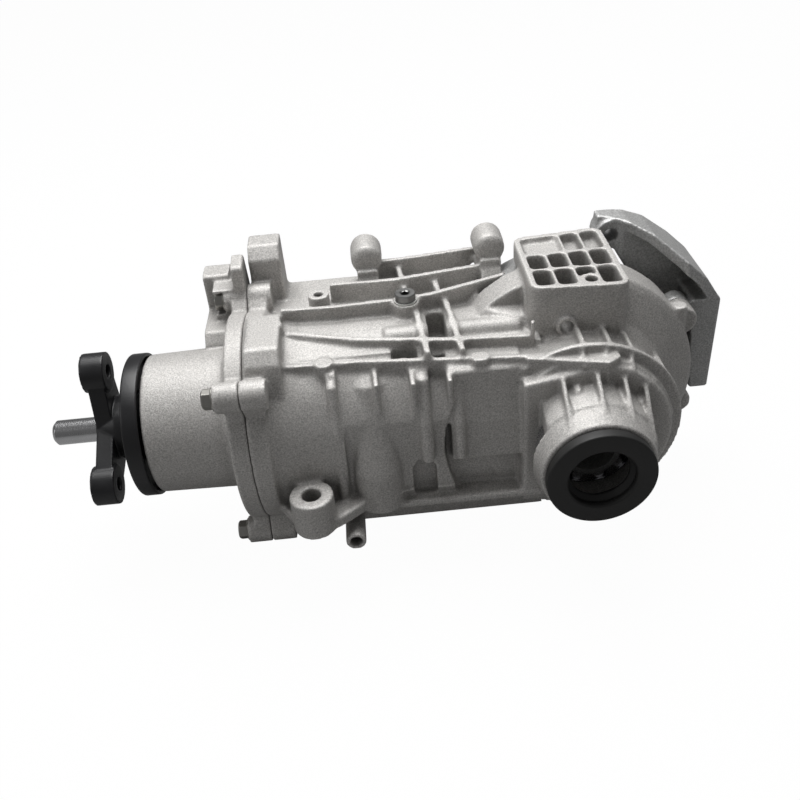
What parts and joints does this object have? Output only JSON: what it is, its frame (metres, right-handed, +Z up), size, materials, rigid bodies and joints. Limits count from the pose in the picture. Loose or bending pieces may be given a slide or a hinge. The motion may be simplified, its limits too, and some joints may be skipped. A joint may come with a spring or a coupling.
{
  "type": "rear differential",
  "caption": "Rear differential in a ribbed light-alloy case, with a clutch coupling and three-armed input flange in front and an axle opening on each side.",
  "frame": {"origin": "centre of the input flange's bolt circle, on its front mating face", "axes": "+X rearward along the input axis, +Z up, +Y away from the left axle opening"},
  "size_m": [0.5145, 0.2263, 0.2096],
  "materials": {
    "cast_aluminium": "as-cast, fine sand-like grain",
    "cast_cover": "as-cast, smoother",
    "zinc_steel": "zinc plated",
    "dark_steel": "oiled",
    "washer_aluminium": "soft sealing ring",
    "black_steel": "satin black coating",
    "bright_steel": "ground",
    "seal_rubber": "moulded",
    "friction_lining": "paper friction lining",
    "cast_iron": "cast, machined seats",
    "machined_steel": "machined and oiled"
  },
  "bodies": {
    "housing": {"main_case": "cast_aluminium", "coupling_cover": "cast_aluminium", "side_cover": "cast_cover", "cover_bolts": "zinc_steel", "side_cover_bolts": "zinc_steel", "fill_plug": "dark_steel", "plug_washer": "washer_aluminium", "input_bearing_outer": "machined_steel", "input_seal": "seal_rubber", "actuator_ring": "machined_steel", "front_pinion_cup": "machined_steel", "head_pinion_cup": "machined_steel", "left_carrier_cup": "machined_steel", "right_carrier_cup": "machined_steel", "left_axle_seal": "seal_rubber", "right_axle_seal": "seal_rubber"},
    "input": {"input_flange": "black_steel", "pilot_pin": "bright_steel", "dust_shield": "black_steel", "input_shaft": "machined_steel", "clutch_drum": "machined_steel", "outer_plates": "machined_steel", "pressure_plate": "machined_steel", "input_bearing_inner": "machined_steel", "input_bearing_rollers": "machined_steel"},
    "pinion": {"pinion_shaft": "machined_steel", "pinion_nut": "machined_steel", "crush_sleeve": "machined_steel", "clutch_hub": "machined_steel", "inner_plates": "friction_lining", "front_pinion_cone": "machined_steel", "front_pinion_rollers": "machined_steel", "head_pinion_cone": "machined_steel", "head_pinion_rollers": "machined_steel"},
    "carrier": {"differential_case": "cast_iron", "ring_gear": "machined_steel", "ring_gear_bolts": "machined_steel", "spider_shaft": "machined_steel", "shaft_lock_pin": "machined_steel", "left_carrier_cone": "machined_steel", "left_carrier_rollers": "machined_steel", "right_carrier_cone": "machined_steel", "right_carrier_rollers": "machined_steel"},
    "left_gear": {"left_side_gear": "machined_steel", "left_gear_washer": "machined_steel"},
    "right_gear": {"right_side_gear": "machined_steel", "right_gear_washer": "machined_steel"},
    "front_spider": {"front_spider_gear": "machined_steel", "front_spider_washer": "machined_steel"},
    "rear_spider": {"rear_spider_gear": "machined_steel", "rear_spider_washer": "machined_steel"},
    "piston": {"clutch_piston": "machined_steel", "thrust_needles": "machined_steel"}
  },
  "joints": [
    {"name": "input_spin", "type": "hinge", "parent": "housing", "child": "input", "pos_m": [0, 0, 0], "axis": [1, 0, 0], "continuous": true},
    {"name": "carrier_spin", "type": "hinge", "parent": "housing", "child": "carrier", "pos_m": [0.357, 0, 0], "axis": [0, 1, 0], "continuous": true},
    {"name": "pinion_spin", "type": "hinge", "parent": "housing", "child": "pinion", "pos_m": [0.2, 0, 0], "axis": [1, 0, 0], "continuous": true},
    {"name": "left_axle_spin", "type": "hinge", "parent": "carrier", "child": "left_gear", "pos_m": [0.357, 0, 0], "axis": [0, 1, 0], "continuous": true},
    {"name": "right_axle_spin", "type": "hinge", "parent": "carrier", "child": "right_gear", "pos_m": [0.357, 0, 0], "axis": [0, 1, 0], "continuous": true},
    {"name": "front_spider_spin", "type": "hinge", "parent": "carrier", "child": "front_spider", "pos_m": [0.357, 0, 0], "axis": [1, 0, 0], "continuous": true},
    {"name": "rear_spider_spin", "type": "hinge", "parent": "carrier", "child": "rear_spider", "pos_m": [0.357, 0, 0], "axis": [1, 0, 0], "continuous": true},
    {"name": "piston_stroke", "type": "slide", "parent": "housing", "child": "piston", "axis": [-1, 0, 0], "range_m": [0, 0.001]}
  ],
  "couplings": [
    {"joint": "pinion_spin", "follows": "carrier_spin", "ratio": 2.5385},
    {"joint": "right_axle_spin", "follows": "left_axle_spin", "ratio": -1},
    {"joint": "front_spider_spin", "follows": "left_axle_spin", "ratio": -1.4},
    {"joint": "rear_spider_spin", "follows": "left_axle_spin", "ratio": 1.4}
  ]
}
